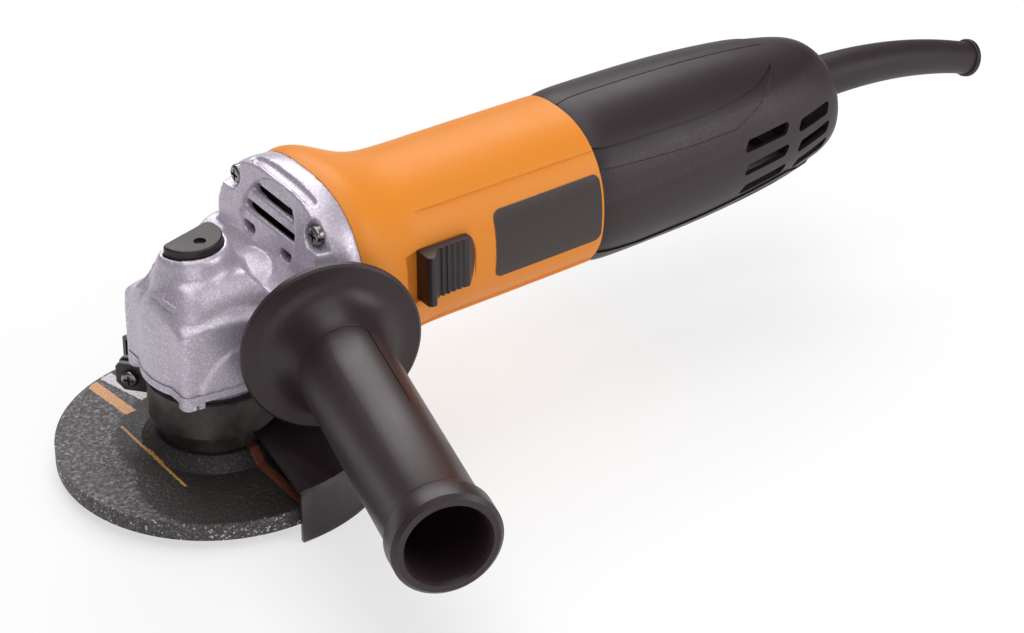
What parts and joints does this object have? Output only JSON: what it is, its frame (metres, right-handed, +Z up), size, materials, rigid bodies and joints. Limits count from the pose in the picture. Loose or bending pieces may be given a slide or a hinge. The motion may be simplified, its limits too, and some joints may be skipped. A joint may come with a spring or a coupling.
{
  "type": "angle grinder",
  "caption": "Small corded angle grinder with a depressed-centre grinding disc, clamped guard, side handle and slide switch.",
  "frame": {"origin": "on the spindle axis, on the face of the inner flange where the hub of the disc seats", "axes": "+Z up along the spindle, +X from the spindle towards the rear handle along the motor axis, -Y towards the fitted side handle"},
  "size_m": [0.4106, 0.2341, 0.1069],
  "materials": {
    "abrasive": "bonded abrasive, rough",
    "black_plastic": "black glass-filled nylon, fine grain",
    "brass": "drawn brass",
    "capacitor": "moulded case",
    "carbon": "pressed carbon",
    "copper": "enamelled copper",
    "dark_screws": "blackened steel",
    "dark_steel": "blackened steel",
    "guard": "dark painted sheet steel, satin",
    "head": "silver paint with a fine sparkle on a die casting",
    "label": "bare dark plate, satin",
    "lamination": "stacked steel sheets",
    "orange": "orange glass-filled nylon, satin gloss",
    "rubber": "black moulded rubber, satin",
    "screws": "zinc-plated steel",
    "steel": "ground steel"
  },
  "bodies": {
    "housing": {"gear_housing": "head", "bearing_box": "head", "box_screws": "screws", "head_screws": "dark_screws", "spindle_bearing": "steel", "needle_bearing": "steel", "bearing_retainer": "steel", "motor_housing": "orange", "label_plate": "label", "air_baffle": "black_plastic", "front_bearing": "steel", "rear_bearing": "steel", "stator_core": "lamination", "field_coils": "copper", "brush_holders": "brass", "carbon_brushes": "carbon", "switch_body": "black_plastic", "capacitor": "capacitor", "handle_left": "black_plastic", "handle_right": "black_plastic", "handle_screws": "screws", "cord_clamp": "black_plastic", "cord_guard": "rubber", "side_handle": "black_plastic", "handle_stud": "steel"},
    "spindle": {"spindle": "steel", "bevel_gear": "steel", "inner_flange": "steel", "grinding_disc": "abrasive", "lock_nut": "dark_steel"},
    "armature": {"armature_shaft": "steel", "armature_core": "lamination", "armature_windings": "copper", "commutator": "copper", "fan": "black_plastic", "pinion": "steel"},
    "guard": {"guard": "guard", "guard_clamp": "guard", "clamp_screw": "dark_screws", "clamp_nut": "dark_screws"},
    "lock_button": {"lock_button": "black_plastic", "lock_pin": "steel", "lock_spring": "steel"},
    "switch": {"switch_knob": "black_plastic", "switch_rod": "black_plastic"}
  },
  "joints": [
    {"name": "spindle_spin", "type": "hinge", "parent": "housing", "child": "spindle", "pos_m": [0, 0, 0], "axis": [0, 0, 1], "continuous": true},
    {"name": "armature_spin", "type": "hinge", "parent": "housing", "child": "armature", "pos_m": [0, 0, 0.0505], "axis": [1, 0, 0], "continuous": true},
    {"name": "guard_turn", "type": "hinge", "parent": "housing", "child": "guard", "pos_m": [0, 0, 0], "axis": [0, 0, 1], "range_deg": [-45, 90]},
    {"name": "lock_button_press", "type": "slide", "parent": "housing", "child": "lock_button", "axis": [0, 0, -1], "range_m": [0, 0.004], "stiffness_N_per_m": 1200, "springref_m": -0.003, "deforming": ["lock_spring"]},
    {"name": "switch_slide", "type": "slide", "parent": "housing", "child": "switch", "axis": [-1, 0, 0], "range_m": [0, 0.006]}
  ],
  "couplings": [
    {"joint": "armature_spin", "follows": "spindle_spin", "ratio": 3}
  ]
}
